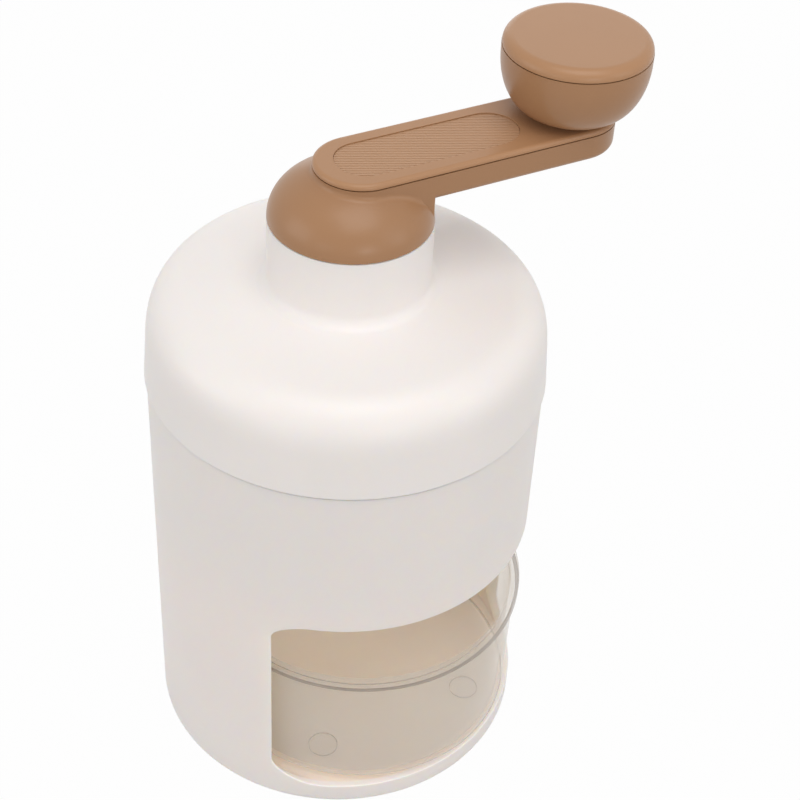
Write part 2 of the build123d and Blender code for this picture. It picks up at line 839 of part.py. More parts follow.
with BuildPart() as presser_pins:
    for turn, pin_circle in enumerate(pin_circles):
        pin_start = pin_first_angle + pin_circle_turn * turn
        with BuildSketch(Plane.XY.offset(presser_base - pin_drop)):
            with PolarLocations(pin_circle, pins_per_circle, start_angle=pin_start):
                Circle(pin_radius)
        extrude(amount=pin_drop + presser_thickness)
    chamfer(presser_pins.edges().group_by(Axis.Z)[0], pin_tip_chamfer)

presser_pins.part.label = "presser_pins"
export_step(presser_pins.part, "parts/presser_pins.step")

end_washer = ring(end_washer_base, end_washer_thickness, end_washer_radius, end_screw_radius + seat_gap)
end_washer.part.label = "end_washer"
export_step(end_washer.part, "parts/end_washer.step")

end_screw = screws(
    Plane.XY.offset(end_washer_base - end_screw_head_height),
    [(0, 0)],
    end_screw_head_radius,
    end_screw_head_height,
    end_screw_radius,
    end_screw_length - end_screw_head_height,
)
end_screw.part.label = "end_screw"
export_step(end_screw.part, "parts/end_screw.step")


def coil_point(turns, base, rise):
    """Point of the spring's centre line after a number of turns."""
    angle = 2 * pi * turns
    return Vector(spring_mean_radius * cos(angle), spring_mean_radius * sin(angle), base + rise * turns)


def coil_tangent(turns, rise):
    """Direction of the spring's centre line after a number of turns."""
    angle = 2 * pi * turns
    run = 2 * pi * spring_mean_radius
    return Vector(-run * sin(angle), run * cos(angle), rise).normalized()


def joint_direction(start, end, leave, arrive, reach):
    """Direction in which a pair of arcs pass into each other."""
    return ((end - arrive * reach) - (start + leave * reach)).normalized()


with BuildPart() as presser_spring:
    coil_base = presser_hub_top + spring_wire_radius + seat_gap
    coil_rise = (spring_top - spring_wire_radius - thread_clearance - coil_base) / spring_turns
    print("spring: least gap between turns", round(coil_rise - 2 * spring_wire_radius, 2))
    with BuildLine() as coil_line:
        for quarter in range(4 * spring_turns):
            start = coil_point(quarter / 4, coil_base, coil_rise)
            end = coil_point((quarter + 1) / 4, coil_base, coil_rise)
            leave = coil_tangent(quarter / 4, coil_rise)
            arrive = coil_tangent((quarter + 1) / 4, coil_rise)
            chord = end - start
            both = leave + arrive
            square = 2 * (1 - leave.dot(arrive))
            linear = chord.dot(both)
            reach = (sqrt(linear * linear + square * chord.dot(chord)) - linear) / square
            joint = (start + leave * reach + end - arrive * reach) * 0.5
            TangentArc(start, joint, tangent=leave)
            TangentArc(joint, end, tangent=joint_direction(start, end, leave, arrive, reach))
    with BuildSketch(Plane(origin=coil_line.line @ 0, z_dir=coil_line.line % 0)):
        Circle(spring_wire_radius)
    sweep()

presser_spring.part.label = "presser_spring"
export_step(presser_spring.part, "parts/presser_spring.step")


# ---------------------------------------------------------------- crank
with BuildPart() as arm_shell:
    with BuildSketch(arm_level(arm_base)):
        arm_slot(arm_near, arm_length, arm_half_width)
    extrude(amount=arm_depth)
    fillet(arm_shell.edges().group_by(Axis.Z)[0], arm_edge_radius)
    with BuildSketch(Plane.XZ):
        with BuildLine():
            EllipticalCenterArc((0, dome_base), dome_radius, dome_height, start_angle=0, arc_size=90)
            Polyline((0, dome_base + dome_height), (0, dome_base), (dome_radius, dome_base))
        make_face()
    revolve(axis=Axis.Z)
    fillet(arm_shell.edges(Select.NEW), arm_blend_radius)
    with BuildSketch(arm_level(dome_base)):
        Circle(dome_radius - arm_web_inset)
        with Locations((arm_length / 2, 0)):
            Rectangle(arm_length, 2 * arm_half_width, mode=Mode.INTERSECT)
    extrude(amount=arm_base + arm_edge_radius - dome_base)
    with BuildSketch(arm_level(arm_floor_top)):
        arm_slot(arm_near, arm_length, arm_half_width - arm_wall)
    extrude(amount=arm_top - arm_floor_top, mode=Mode.SUBTRACT)
    cavity_radius = dome_radius - dome_wall
    cavity_height = dome_height - dome_wall
    ceiling = arm_base - dome_base
    ceiling_turn = degrees(asin(ceiling / cavity_height))
    ceiling_radius = cavity_radius * cos(radians(ceiling_turn))
    with BuildSketch(Plane.XZ):
        with BuildLine():
            EllipticalCenterArc(
                (0, dome_base),
                cavity_radius,
                cavity_height,
                start_angle=0,
                arc_size=ceiling_turn,
            )
            Polyline((ceiling_radius, arm_base), (0, arm_base), (0, dome_base), (cavity_radius, dome_base))
        make_face()
    revolve(axis=Axis.Z, mode=Mode.SUBTRACT)
    with BuildSketch(Plane.XY.offset(hub_base)):
        Circle(hub_radius)
    extrude(amount=arm_base - hub_base)
    with BuildSketch(arm_level(arm_floor_top)):
        with Locations((arm_length, 0)):
            Circle(insert_boss_radius)
    extrude(amount=insert_top - arm_floor_top)
    socket_width = shaft_square + 2 * hub_socket_clearance
    with BuildSketch(arm_level(hub_base)):
        Rectangle(socket_width, socket_width)
    extrude(amount=socket_top - hub_base, mode=Mode.SUBTRACT)
    with BuildSketch(Plane.XY.offset(socket_top)):
        Circle(hub_screw_radius + seat_gap)
    extrude(amount=arm_floor_top - socket_top, mode=Mode.SUBTRACT)
    with BuildSketch(arm_level(arm_base)):
        with Locations(*arm_screw_points):
            Circle(screw_radius + seat_gap)
    extrude(amount=arm_floor_wall, mode=Mode.SUBTRACT)
    with BuildSketch(arm_level(arm_base)):
        with Locations(*arm_screw_points):
            Circle(screw_head_radius + seat_gap)
    extrude(amount=screw_head_height, mode=Mode.SUBTRACT)
    with BuildSketch(arm_level(insert_base)):
        with Locations((arm_length, 0)):
            Circle(insert_radius)
    extrude(amount=insert_top - insert_base, mode=Mode.SUBTRACT)

arm_shell.part.label = "arm_shell"
export_step(arm_shell.part, "parts/arm_shell.step")

with BuildPart() as arm_cover:
    with BuildSketch(arm_level(plate_seat)):
        arm_slot(arm_near, arm_length, arm_half_width)
    extrude(amount=cover_plate_height)
    fillet(arm_cover.edges().group_by(Axis.Z)[-1], cover_plate_edge_radius)
    chamfer(arm_cover.edges().group_by(Axis.Z)[0], cover_plate_gap)
    with BuildSketch(arm_level(plate_under)):
        arm_slot(arm_near, arm_length, arm_half_width - arm_wall - cover_lip_clearance)
    extrude(amount=plate_seat - plate_under)
    with BuildSketch(arm_level(recess_floor)):
        arm_slot(recess_near, recess_far, recess_half_width)
    extrude(amount=recess_depth, mode=Mode.SUBTRACT)
    with BuildSketch(arm_level(arm_floor_top)):
        with Locations(*arm_screw_points):
            Circle(boss_radius)
    extrude(amount=plate_under - arm_floor_top)
    with BuildSketch(arm_level(arm_floor_top)):
        with Locations(*arm_screw_points):
            Circle(screw_radius + thread_clearance)
    extrude(amount=recess_floor - screw_tip_cover - arm_floor_top, mode=Mode.SUBTRACT)
    with BuildSketch(arm_level(plate_under)):
        with Locations((arm_length, 0)):
            Circle(axle_radius + seat_gap)
    extrude(amount=arm_cover_top - plate_under, mode=Mode.SUBTRACT)

arm_cover.part.label = "arm_cover"
export_step(arm_cover.part, "parts/arm_cover.step")

inlay_half_width = recess_half_width - inlay_clearance
with BuildPart() as arm_inlay:
    with BuildSketch(arm_level(recess_floor)):
        arm_slot(recess_near, recess_far, inlay_half_width)
    extrude(amount=inlay_base_height)
    rib_span = recess_far - recess_near + 2 * inlay_half_width
    rib_count = int(rib_span / inlay_rib_pitch)
    with BuildSketch(arm_level(recess_floor + inlay_base_height)):
        with Locations(Location(((recess_near + recess_far) / 2, 0, 0), (0, 0, inlay_rib_angle))):
            with GridLocations(0, inlay_rib_pitch, 1, rib_count):
                Rectangle(rib_span, inlay_rib_width)
        with Locations(((recess_near + recess_far) / 2, 0)):
            SlotCenterToCenter(
                recess_far - recess_near,
                2 * inlay_half_width,
                mode=Mode.INTERSECT,
            )
    extrude(amount=inlay_rib_height)

arm_inlay.part.label = "arm_inlay"
export_step(arm_inlay.part, "parts/arm_inlay.step")

arm_screws = screws(
    arm_level(arm_base),
    arm_screw_points,
    screw_head_radius,
    screw_head_height,
    screw_radius,
    recess_floor - 2 * screw_tip_cover - arm_base - screw_head_height,
)
arm_screws.part.label = "arm_screws"
export_step(arm_screws.part, "parts/arm_screws.step")

# ---------------------------------------------------------------- knob
arm_insert = ring(
    insert_base,
    insert_top - insert_base,
    insert_radius,
    axle_thread_radius + thread_clearance,
    knob_x,
    knob_y,
)
arm_insert.part.label = "arm_insert"
export_step(arm_insert.part, "parts/arm_insert.step")

knob_spacer = ring(
    arm_cover_top,
    knob_above_arm - seat_gap,
    knob_spacer_radius,
    axle_radius + seat_gap,
    knob_x,
    knob_y,
)
knob_spacer.part.label = "knob_spacer"
export_step(knob_spacer.part, "parts/knob_spacer.step")

knob_bush = ring(knob_base, knob_bush_length, knob_bush_radius, axle_bore, knob_x, knob_y)
knob_bush.part.label = "knob_bush"
export_step(knob_bush.part, "parts/knob_bush.step")

knob_washer = ring(
    knob_washer_base,
    washer_thickness,
    axle_head_radius,
    axle_radius + washer_clearance,
    knob_x,
    knob_y,
)
knob_washer.part.label = "knob_washer"
export_step(knob_washer.part, "parts/knob_washer.step")

knob_section = Plane(origin=(knob_x, knob_y, 0), x_dir=(1, 0, 0), z_dir=(0, -1, 0))
knob_axis = Axis((knob_x, knob_y, 0), (0, 0, 1))

with BuildPart() as knob_axle:
    head_base = knob_washer_base + washer_thickness
    head_top = head_base + axle_head_height
    with BuildSketch(knob_section):
        Polygon(
            (0, insert_top - axle_thread_length),
            (axle_thread_radius, insert_top - axle_thread_length),
            (axle_thread_radius, insert_top),
            (axle_radius, insert_top),
            (axle_radius, head_base),
            (axle_head_radius, head_base),
            (axle_head_radius, head_top),
            (0, head_top),
            align=None,
        )
    revolve(axis=knob_axis)
    with BuildSketch(round_level(head_top, knob_x, knob_y)):
        Rectangle(2 * axle_head_radius, axle_slot_width)
    extrude(amount=-axle_slot_depth, mode=Mode.SUBTRACT)

knob_axle.part.label = "knob_axle"
export_step(knob_axle.part, "parts/knob_axle.step")

bowl_side_base = knob_seam - knob_straight_height
with BuildPart() as knob_bowl:
    with BuildSketch(knob_section):
        with BuildLine():
            Line((knob_bush_radius, knob_base), (knob_bottom_radius, knob_base))
            EllipticalCenterArc(
                (knob_bottom_radius, bowl_side_base),
                knob_radius - knob_bottom_radius,
                bowl_side_base - knob_base,
                start_angle=270,
                arc_size=90,
            )
            Polyline(
                (knob_radius, bowl_side_base),
                (knob_radius, knob_seam),
                (knob_radius - knob_wall, knob_seam),
                (knob_radius - knob_wall, bowl_side_base),
            )
            EllipticalCenterArc(
                (knob_bottom_radius, bowl_side_base),
                knob_radius - knob_wall - knob_bottom_radius,
                bowl_side_base - knob_base - knob_floor_wall,
                start_angle=270,
                arc_size=90,
            )
            Polyline(
                (knob_bottom_radius, knob_base + knob_floor_wall),
                (knob_tube_radius, knob_base + knob_floor_wall),
                (knob_tube_radius, knob_base + knob_bush_length),
                (knob_bush_radius, knob_base + knob_bush_length),
                (knob_bush_radius, knob_base),
            )
        make_face()
    revolve(axis=knob_axis)

knob_bowl.part.label = "knob_bowl"
export_step(knob_bowl.part, "parts/knob_bowl.step")

cap_lip_radius = knob_radius - knob_wall - cover_lip_clearance
with BuildPart() as knob_cap:
    with BuildSketch(knob_section):
        with BuildLine():
            Polyline(
                (0, knob_cap_top - knob_wall),
                (0, knob_cap_top),
                (knob_cap_radius - knob_cap_edge_radius, knob_cap_top),
            )
            CenterArc(
                (knob_cap_radius - knob_cap_edge_radius, knob_cap_top - knob_cap_edge_radius),
                knob_cap_edge_radius,
                0,
                90,
            )
            Polyline(
                (knob_cap_radius, knob_cap_top - knob_cap_edge_radius),
                (knob_cap_radius, knob_cap_base),
                (cap_lip_radius, knob_cap_base),
                (cap_lip_radius, knob_cap_base - knob_cap_lip_height),
                (cap_lip_radius - knob_cap_lip_wall, knob_cap_base - knob_cap_lip_height),
                (cap_lip_radius - knob_cap_lip_wall, knob_cap_top - knob_wall),
                (0, knob_cap_top - knob_wall),
            )
        make_face()
    revolve(axis=knob_axis)

knob_cap.part.label = "knob_cap"
export_step(knob_cap.part, "parts/knob_cap.step")

# ---------------------------------------------------------------- cup
cup_section = Plane(origin=(0, -cup_offset, 0), x_dir=(1, 0, 0), z_dir=(0, -1, 0))
cup_axis = Axis((0, -cup_offset, 0), (0, 0, 1))

with BuildPart() as ice_cup:
    with BuildSketch(cup_section):
        with BuildLine():
            Line((0, cup_floor_base), (cup_base_radius - cup_edge_radius, cup_floor_base))
            CenterArc(
                (cup_base_radius - cup_edge_radius, cup_floor_base + cup_edge_radius),
                cup_edge_radius,
                270,
                90,
            )
            Polyline(
                (cup_base_radius, cup_floor_base + cup_edge_radius),
                (cup_wall_radius, cup_top - cup_rim_height),
                (cup_rim_radius, cup_top - cup_rim_height),
                (cup_rim_radius, cup_top),
                (cup_rim_radius - cup_rim_wall, cup_top),
                (cup_base_radius - cup_wall, cup_floor_base + cup_edge_radius),
            )
            CenterArc(
                (cup_base_radius - cup_edge_radius, cup_floor_base + cup_edge_radius),
                cup_edge_radius - cup_wall,
                270,
                90,
            )
            Polyline(
                (cup_base_radius - cup_edge_radius, cup_floor_base + cup_wall),
                (0, cup_floor_base + cup_wall),
                (0, cup_floor_base),
            )
        make_face()
    revolve(axis=cup_axis)
    rim_edges = ice_cup.edges().filter_by(GeomType.CIRCLE).group_by(Axis.Z)[-1]
    fillet(rim_edges, cup_rim_edge_radius)
    with BuildSketch(round_level(cup_base, 0, -cup_offset)):
        with PolarLocations(cup_foot_circle, cup_foot_count, start_angle=cup_foot_angle):
            Circle(cup_foot_radius)
    extrude(amount=cup_foot_height + root_sink)
    fillet(ice_cup.edges().group_by(Axis.Z)[0], cup_foot_edge_radius)

ice_cup.part.label = "ice_cup"
export_step(ice_cup.part, "parts/ice_cup.step")
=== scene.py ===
import bpy
from math import radians
from mathutils import Matrix, Vector


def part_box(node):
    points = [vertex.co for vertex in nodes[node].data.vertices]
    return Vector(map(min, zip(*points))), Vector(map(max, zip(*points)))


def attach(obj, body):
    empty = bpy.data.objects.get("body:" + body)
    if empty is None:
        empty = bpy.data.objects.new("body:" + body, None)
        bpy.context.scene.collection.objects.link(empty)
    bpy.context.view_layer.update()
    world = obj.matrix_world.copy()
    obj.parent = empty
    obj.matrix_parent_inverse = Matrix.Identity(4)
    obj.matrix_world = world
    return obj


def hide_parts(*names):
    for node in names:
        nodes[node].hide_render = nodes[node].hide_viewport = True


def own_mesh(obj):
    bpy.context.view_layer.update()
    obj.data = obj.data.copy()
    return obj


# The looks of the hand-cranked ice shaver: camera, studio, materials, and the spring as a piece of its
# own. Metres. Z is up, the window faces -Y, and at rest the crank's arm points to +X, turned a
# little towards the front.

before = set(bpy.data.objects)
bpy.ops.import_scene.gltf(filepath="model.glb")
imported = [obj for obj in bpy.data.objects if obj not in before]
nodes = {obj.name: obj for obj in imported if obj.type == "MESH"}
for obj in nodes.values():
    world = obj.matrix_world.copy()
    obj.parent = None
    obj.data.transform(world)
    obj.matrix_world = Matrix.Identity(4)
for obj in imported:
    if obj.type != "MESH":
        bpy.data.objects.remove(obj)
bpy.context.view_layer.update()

MM = 0.001
PURE_WHITE = (1, 1, 1, 1)


# ---------------------------------------------------------------- camera
CAMERA_PLACE = Vector((-0.26568, -0.26568, 0.42905))
CAMERA_HEADING = radians(47.370)      # from +Y towards +X
CAMERA_TILT = radians(40.042)         # below the horizon
CAMERA_ROLL = radians(3.340)
CAMERA_LENS = 78.2                    # millimetres, as is the width of the sensor
SENSOR_WIDTH = 36.0


def set_camera():
    data = bpy.data.cameras.new("camera")
    data.sensor_width = SENSOR_WIDTH
    data.lens = CAMERA_LENS
    camera = bpy.data.objects.new("camera", data)
    bpy.context.scene.collection.objects.link(camera)
    turn = (
        Matrix.Rotation(-CAMERA_HEADING, 4, "Z")
        @ Matrix.Rotation(radians(90) - CAMERA_TILT, 4, "X")
        @ Matrix.Rotation(CAMERA_ROLL, 4, "Z")
    )
    camera.matrix_world = Matrix.Translation(CAMERA_PLACE) @ turn
    bpy.context.scene.camera = camera


# ---------------------------------------------------------------- lights
# name, azimuth from +X and elevation in degrees, distance, size, power in watts
SOFTBOXES = [
    ("overhead", -113, 72, 1.3, 0.9, 6.0),
    ("left", 151, 18, 1.2, 0.7, 2.3),
    ("right", -72, 25, 1.2, 0.6, 0.9),
    ("front", -113, 8, 1.2, 0.3, 1.4),
    ("front_left", -168, 10, 1.2, 0.25, 0.45),
    ("front_right", -68, 10, 1.2, 0.25, 0.45),
    ("back", 45, 12, 1.2, 0.8, 1.2),
]
LIGHT_AIM = Vector((0, 0, 0.12))      # the point that the softboxes face

BAY_GLOW_PLACE = Vector((0, 0, 0.083))
BAY_GLOW_SIZE = 0.08
BAY_GLOW_POWER = 0.020
BAY_GLOW_COLOUR = (1.0, 0.94, 0.86)


def area_light(name, shape, size, power):
    data = bpy.data.lights.new(name, "AREA")
    data.shape = shape
    data.size = size
    data.energy = power
    light = bpy.data.objects.new(name, data)
    bpy.context.scene.collection.objects.link(light)
    return light


def direction(azimuth, elevation):
    """Unit vector that points away from the object."""
    turn = Matrix.Rotation(radians(azimuth), 3, "Z") @ Matrix.Rotation(-radians(elevation), 3, "Y")
    return turn @ Vector((1, 0, 0))


def add_softboxes():
    for name, azimuth, elevation, distance, size, power in SOFTBOXES:
        light = area_light("softbox_" + name, "SQUARE", size, power)
        away = direction(azimuth, elevation)
        light.location = LIGHT_AIM + away * distance
        light.rotation_euler = away.to_track_quat("Z", "Y").to_euler()


def add_bay_glow():
    """Stands for the light that the thin white walls let into the bay of the cup."""
    light = area_light("bay_glow", "DISK", BAY_GLOW_SIZE, BAY_GLOW_POWER)
    light.data.color = BAY_GLOW_COLOUR
    light.location = BAY_GLOW_PLACE
    light.visible_camera = False
    light.visible_glossy = False


# ---------------------------------------------------------------- parts of shader trees
MIX_FIRST, MIX_SECOND, MIX_RESULT = 6, 7, 2   # the colour sockets of a Mix node


def combined(tree, operation, first, second):
    """One Math node. Its second value is a number or a socket."""
    node = tree.nodes.new("ShaderNodeMath")
    node.operation = operation
    tree.links.new(first, node.inputs[0])
    if isinstance(second, float):
        node.inputs[1].default_value = second
    else:
        tree.links.new(second, node.inputs[1])
    return node.outputs[0]


def greater(tree, first, second):
    return combined(tree, "MAXIMUM", first, second)


def lesser(tree, first, second):
    return combined(tree, "MINIMUM", first, second)


def object_coordinates(tree):
    return tree.nodes.new("ShaderNodeTexCoord").outputs["Object"]


def coordinates_apart(tree):
    """The X, Y and Z of the object's coordinates, as sockets."""
    node = tree.nodes.new("ShaderNodeSeparateXYZ")
    tree.links.new(object_coordinates(tree), node.inputs[0])
    return node.outputs["X"], node.outputs["Y"], node.outputs["Z"]


def distance_from_axis(tree, x, y):
    across = tree.nodes.new("ShaderNodeCombineXYZ")
    tree.links.new(x, across.inputs["X"])
    tree.links.new(y, across.inputs["Y"])
    length = tree.nodes.new("ShaderNodeVectorMath")
    length.operation = "LENGTH"
    tree.links.new(across.outputs[0], length.inputs[0])
    return length.outputs["Value"]


def noise(tree, scale, detail):
    node = tree.nodes.new("ShaderNodeTexNoise")
    node.inputs["Scale"].default_value = scale
    node.inputs["Detail"].default_value = detail
    tree.links.new(object_coordinates(tree), node.inputs["Vector"])
    return node.outputs["Fac"]


def map_range(tree, value, ends):
    """A Map Range node from 0..1 to 0..1, with the given ends set otherwise."""
    node = tree.nodes.new("ShaderNodeMapRange")
    for name, end in ends.items():
        node.inputs[name].default_value = end
    tree.links.new(value, node.inputs["Value"])
    return node.outputs["Result"]


def spread(tree, value, low, high):
    """Takes a 0..1 value to low..high."""
    return map_range(tree, value, {"To Min": low, "To Max": high})


def step(tree, value, start, end):
    """0 up to the start, 1 from the end on."""
    return map_range(tree, value, {"From Min": start, "From Max": end})


def near_height(tree, height, middle, half_width):
    """1 at a height, falling to 0 at the half width above and below it."""
    rising = step(tree, height, middle - half_width, middle)
    falling = step(tree, height, middle + half_width, middle)
    return lesser(tree, rising, falling)


def two_colours(tree, factor, first, second):
    """Mixes two colours, each a tuple or a socket."""
    node = tree.nodes.new("ShaderNodeMix")
    node.data_type = "RGBA"
    tree.links.new(factor, node.inputs["Factor"])
    for place, colour in ((MIX_FIRST, first), (MIX_SECOND, second)):
        if isinstance(colour, tuple):
            node.inputs[place].default_value = colour
        else:
            tree.links.new(colour, node.inputs[place])
    return node.outputs[MIX_RESULT]


def shade(colour, factor):
    return tuple(channel * factor for channel in colour[:3]) + (1,)


def mottled(tree, pattern, colour, amount):
    """A colour that wanders a little to both sides with a 0..1 pattern."""
    return two_colours(tree, pattern, shade(colour, 1 - amount), shade(colour, 1 + amount))


def bump(tree, shader, height, strength, distance):
    node = tree.nodes.new("ShaderNodeBump")
    node.inputs["Strength"].default_value = strength
    node.inputs["Distance"].default_value = distance
    tree.links.new(height, node.inputs["Height"])
    tree.links.new(node.outputs["Normal"], shader.inputs["Normal"])


def seen_directly(tree):
    """1 for what the camera sees, also in a reflection or through the cup."""
    path = tree.nodes.new("ShaderNodeLightPath")
    camera_or_glossy = greater(tree, path.outputs["Is Camera Ray"], path.outputs["Is Glossy Ray"])
    return greater(tree, camera_or_glossy, path.outputs["Is Transmission Ray"])


def coloured(tree, kind, colour):
    """A shader node of the given kind with its colour set."""
    node = tree.nodes.new(kind)
    node.inputs["Color"].default_value = colour
    return node


def two_shaders(tree, factor, first, second, output_kind):
    """Mixes two shaders into the tree's output."""
    mix = tree.nodes.new("ShaderNodeMixShader")
    output = tree.nodes.new(output_kind)
    tree.links.new(factor, mix.inputs[0])
    tree.links.new(first.outputs[0], mix.inputs[1])
    tree.links.new(second.outputs[0], mix.inputs[2])
    tree.links.new(mix.outputs[0], output.inputs[0])


# ---------------------------------------------------------------- world and floor
WORLD_COLOUR = (1.0, 0.985, 0.965, 1)
WORLD_STRENGTH = 0.56
BACKDROP_STRENGTH = 1.0
FLOOR_SIZE = 6.0
FLOOR_COLOUR = (0.55, 0.54, 0.53, 1)  # what lights the object from below
FLOOR_WHITE_SHARE = 0.98              # how far the floor that the camera sees is lifted to white


def set_world():
    """A soft warm light on the object, and a plain white backdrop to the camera."""
    world = bpy.data.worlds.new("studio")
    bpy.context.scene.world = world
    world.use_nodes = True
    tree = world.node_tree
    tree.nodes.clear()
    ambient = coloured(tree, "ShaderNodeBackground", WORLD_COLOUR)
    ambient.inputs["Strength"].default_value = WORLD_STRENGTH
    backdrop = coloured(tree, "ShaderNodeBackground", PURE_WHITE)
    backdrop.inputs["Strength"].default_value = BACKDROP_STRENGTH
    two_shaders(tree, seen_directly(tree), ambient, backdrop, "ShaderNodeOutputWorld")


def floor_material():
    material = bpy.data.materials.new("floor")
    material.use_nodes = True
    tree = material.node_tree
    tree.nodes.clear()
    matt = coloured(tree, "ShaderNodeBsdfDiffuse", FLOOR_COLOUR)
    white = coloured(tree, "ShaderNodeEmission", PURE_WHITE)
    white.inputs["Strength"].default_value = BACKDROP_STRENGTH
    share = combined(tree, "MULTIPLY", seen_directly(tree), FLOOR_WHITE_SHARE)
    two_shaders(tree, share, matt, white, "ShaderNodeOutputMaterial")
    return material


def add_floor():
    half = FLOOR_SIZE / 2
    mesh = bpy.data.meshes.new("floor")
    mesh.from_pydata(
        [(-half, -half, 0), (half, -half, 0), (half, half, 0), (-half, half, 0)],
        [],
        [(0, 1, 2, 3)],
    )
    floor = bpy.data.objects.new("floor", mesh)
    bpy.context.scene.collection.objects.link(floor)
    mesh.materials.append(floor_material())


# ---------------------------------------------------------------- plastics
WHITE = (0.90, 0.852, 0.83, 1)
# Painted light: warm tints for the walls and floor of the cup's bay, standing in for the light that the
# thin white walls let through.
PAINTED_BAY_GLOW = (0.85, 0.77, 0.57, 1)
PAINTED_BAY_FLOOR_GLOW = (0.93, 0.80, 0.71, 1)
INNER_WHITE = (0.80, 0.77, 0.72, 1)
BEARING_WHITE = (0.83, 0.83, 0.80, 1)
PAD_GREY = (0.62, 0.60, 0.58, 1)
BROWN = (0.425, 0.226, 0.113, 1)
BROWN_PAINTED_SHADE = (0.374, 0.197, 0.097, 1)   # the knob's bowl and the arm's shell, a little deeper: painted shade on these side-facing pieces
INLAY_BROWN = (0.49, 0.285, 0.16, 1)
BROWN_SPECULAR = 0.36

CLOUD_SCALE = 40.0
CLOUD_DETAIL = 3.0
GRAIN_SCALE = 2600.0
GRAIN_DETAIL = 2.0
GRAIN_ROUGHNESS = 0.05                # how far the grain moves the roughness to either side
GRAIN_STRENGTH = 0.05
GRAIN_DEPTH = 0.05 * MM

WHITE_SCATTER = (1.0, 0.8, 0.55)      # how far red, green and blue light spread in the white
HOUSING_SCATTER_DEPTH = 1.5 * MM
COVER_SCATTER_DEPTH = 2 * MM
INSIDE_FROM = 53.4 * MM               # the white turns to the bay's painted glow between these radii
INSIDE_TO = 52.7 * MM
BAY_END_BLEND = 1 * MM                # over which that colour ends at the bay's top and bottom
BAY_FLOOR_BLEND = 6 * MM              # over which the bay wall's painted glow turns to the painted glow of its floor

CLEAR = (0.82, 0.77, 0.71, 1)
# Painted shade: the colour of the dark lines under the cup's rim and round its bottom, standing in for
# refraction and shadow.
CLEAR_PAINTED_LINE = (0.24, 0.19, 0.15, 1)
CLEAR_FACING = 0.05                   # opacity of the clear plastic, seen straight on
CLEAR_TURNED = 0.75                   # and where it turns away
CLEAR_TURN_BLEND = 0.2
CLEAR_PAINTED_LINE_STRENGTH = 0.55            # opacity that the painted dark lines add
CLEAR_MOTTLE = 0.03
CLEAR_SMOOTHEST = 0.06
CLEAR_ROUGHEST = 0.12
RIPPLE_SCALE = 55.0
RIPPLE_DETAIL = 2.0
RIPPLE_STRENGTH = 0.08
RIPPLE_DEPTH = 0.3 * MM
RIM_LINE = 3.0 * MM                   # the upper painted dark line's middle, below the cup's top
EDGE_LINE = 1.7 * MM                  # the lower ones' middles, above the cup's lowest point
FOOT_LINE = 0.45 * MM
LINE_HALF_WIDTH = 0.45 * MM

cup_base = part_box("ice_cup")[0][2]
cup_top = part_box("ice_cup")[1][2]
base_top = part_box("base_plate")[1][2]
bay_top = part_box("ice_chamber")[0][2]


def principled(material):
    return material.node_tree.nodes["Principled BSDF"]


def new_material(name):
    material = bpy.data.materials.new(name)
    material.use_nodes = True
    return material, material.node_tree, principled(material)


def moulded(name, colour, roughness, mottle=0.02):
    """Satin moulded plastic: faint clouds in its colour, and a fine spark-eroded grain."""
    material, tree, shader = new_material(name)
    clouds = noise(tree, CLOUD_SCALE, CLOUD_DETAIL)
    tree.links.new(mottled(tree, clouds, colour, mottle), shader.inputs["Base Color"])
    grains = noise(tree, GRAIN_SCALE, GRAIN_DETAIL)
    gloss = spread(tree, grains, roughness - GRAIN_ROUGHNESS, roughness + GRAIN_ROUGHNESS)
    tree.links.new(gloss, shader.inputs["Roughness"])
    bump(tree, shader, grains, GRAIN_STRENGTH, GRAIN_DEPTH)
    return material


def let_light_through(material, weight, depth):
    """Makes thin white walls glow with the light on their other side."""
    shader = principled(material)
    shader.inputs["Subsurface Weight"].default_value = weight
    shader.inputs["Subsurface Radius"].default_value = WHITE_SCATTER
    shader.inputs["Subsurface Scale"].default_value = depth


def paint_bay_glow(material):
    """Paints a warm glow into the colour of the walls and floor of the cup's bay: painted light
    standing in for the light that comes through the thin walls.
    """
    tree = material.node_tree
    base_colour = principled(material).inputs["Base Color"]
    outside = base_colour.links[0].from_socket
    x, y, z = coordinates_apart(tree)
    inside = step(tree, distance_from_axis(tree, x, y), INSIDE_FROM, INSIDE_TO)
    under_chamber = step(tree, z, bay_top, bay_top - BAY_END_BLEND)
    over_base = step(tree, z, base_top, base_top + BAY_END_BLEND)
    in_bay = lesser(tree, inside, lesser(tree, under_chamber, over_base))
    floor = step(tree, z, cup_base + BAY_FLOOR_BLEND, cup_base)
    # painted glow: the bay wall's warm tint, paler towards its floor
    painted_glow = two_colours(tree, floor, PAINTED_BAY_GLOW, PAINTED_BAY_FLOOR_GLOW)
    tree.links.new(two_colours(tree, in_bay, outside, painted_glow), base_colour)


def housing_plastic():
    material = moulded("white_plastic", WHITE, roughness=0.42, mottle=0.012)
    paint_bay_glow(material)
    let_light_through(material, weight=1.0, depth=HOUSING_SCATTER_DEPTH)
    return material


def cover_plastic():
    material = moulded("cover_plastic", WHITE, roughness=0.40, mottle=0.012)
    let_light_through(material, weight=0.6, depth=COVER_SCATTER_DEPTH)
    return material


def brown_plastic(name, colour):
    material = moulded(name, colour, roughness=0.33, mottle=0.03)
    principled(material).inputs["Specular IOR Level"].default_value = BROWN_SPECULAR
    return material


def painted_clear_lines(tree, z):
    """1 on the dark lines painted in the clear cup, under its rim and round its bottom: painted shade
    that stands in for the refraction and shadow at these edges.
    """
    painted_lines = near_height(tree, z, cup_top - RIM_LINE, LINE_HALF_WIDTH)
    for height in (cup_base + EDGE_LINE, cup_base + FOOT_LINE):
        painted_lines = greater(tree, painted_lines, near_height(tree, z, height, LINE_HALF_WIDTH))
    return painted_lines


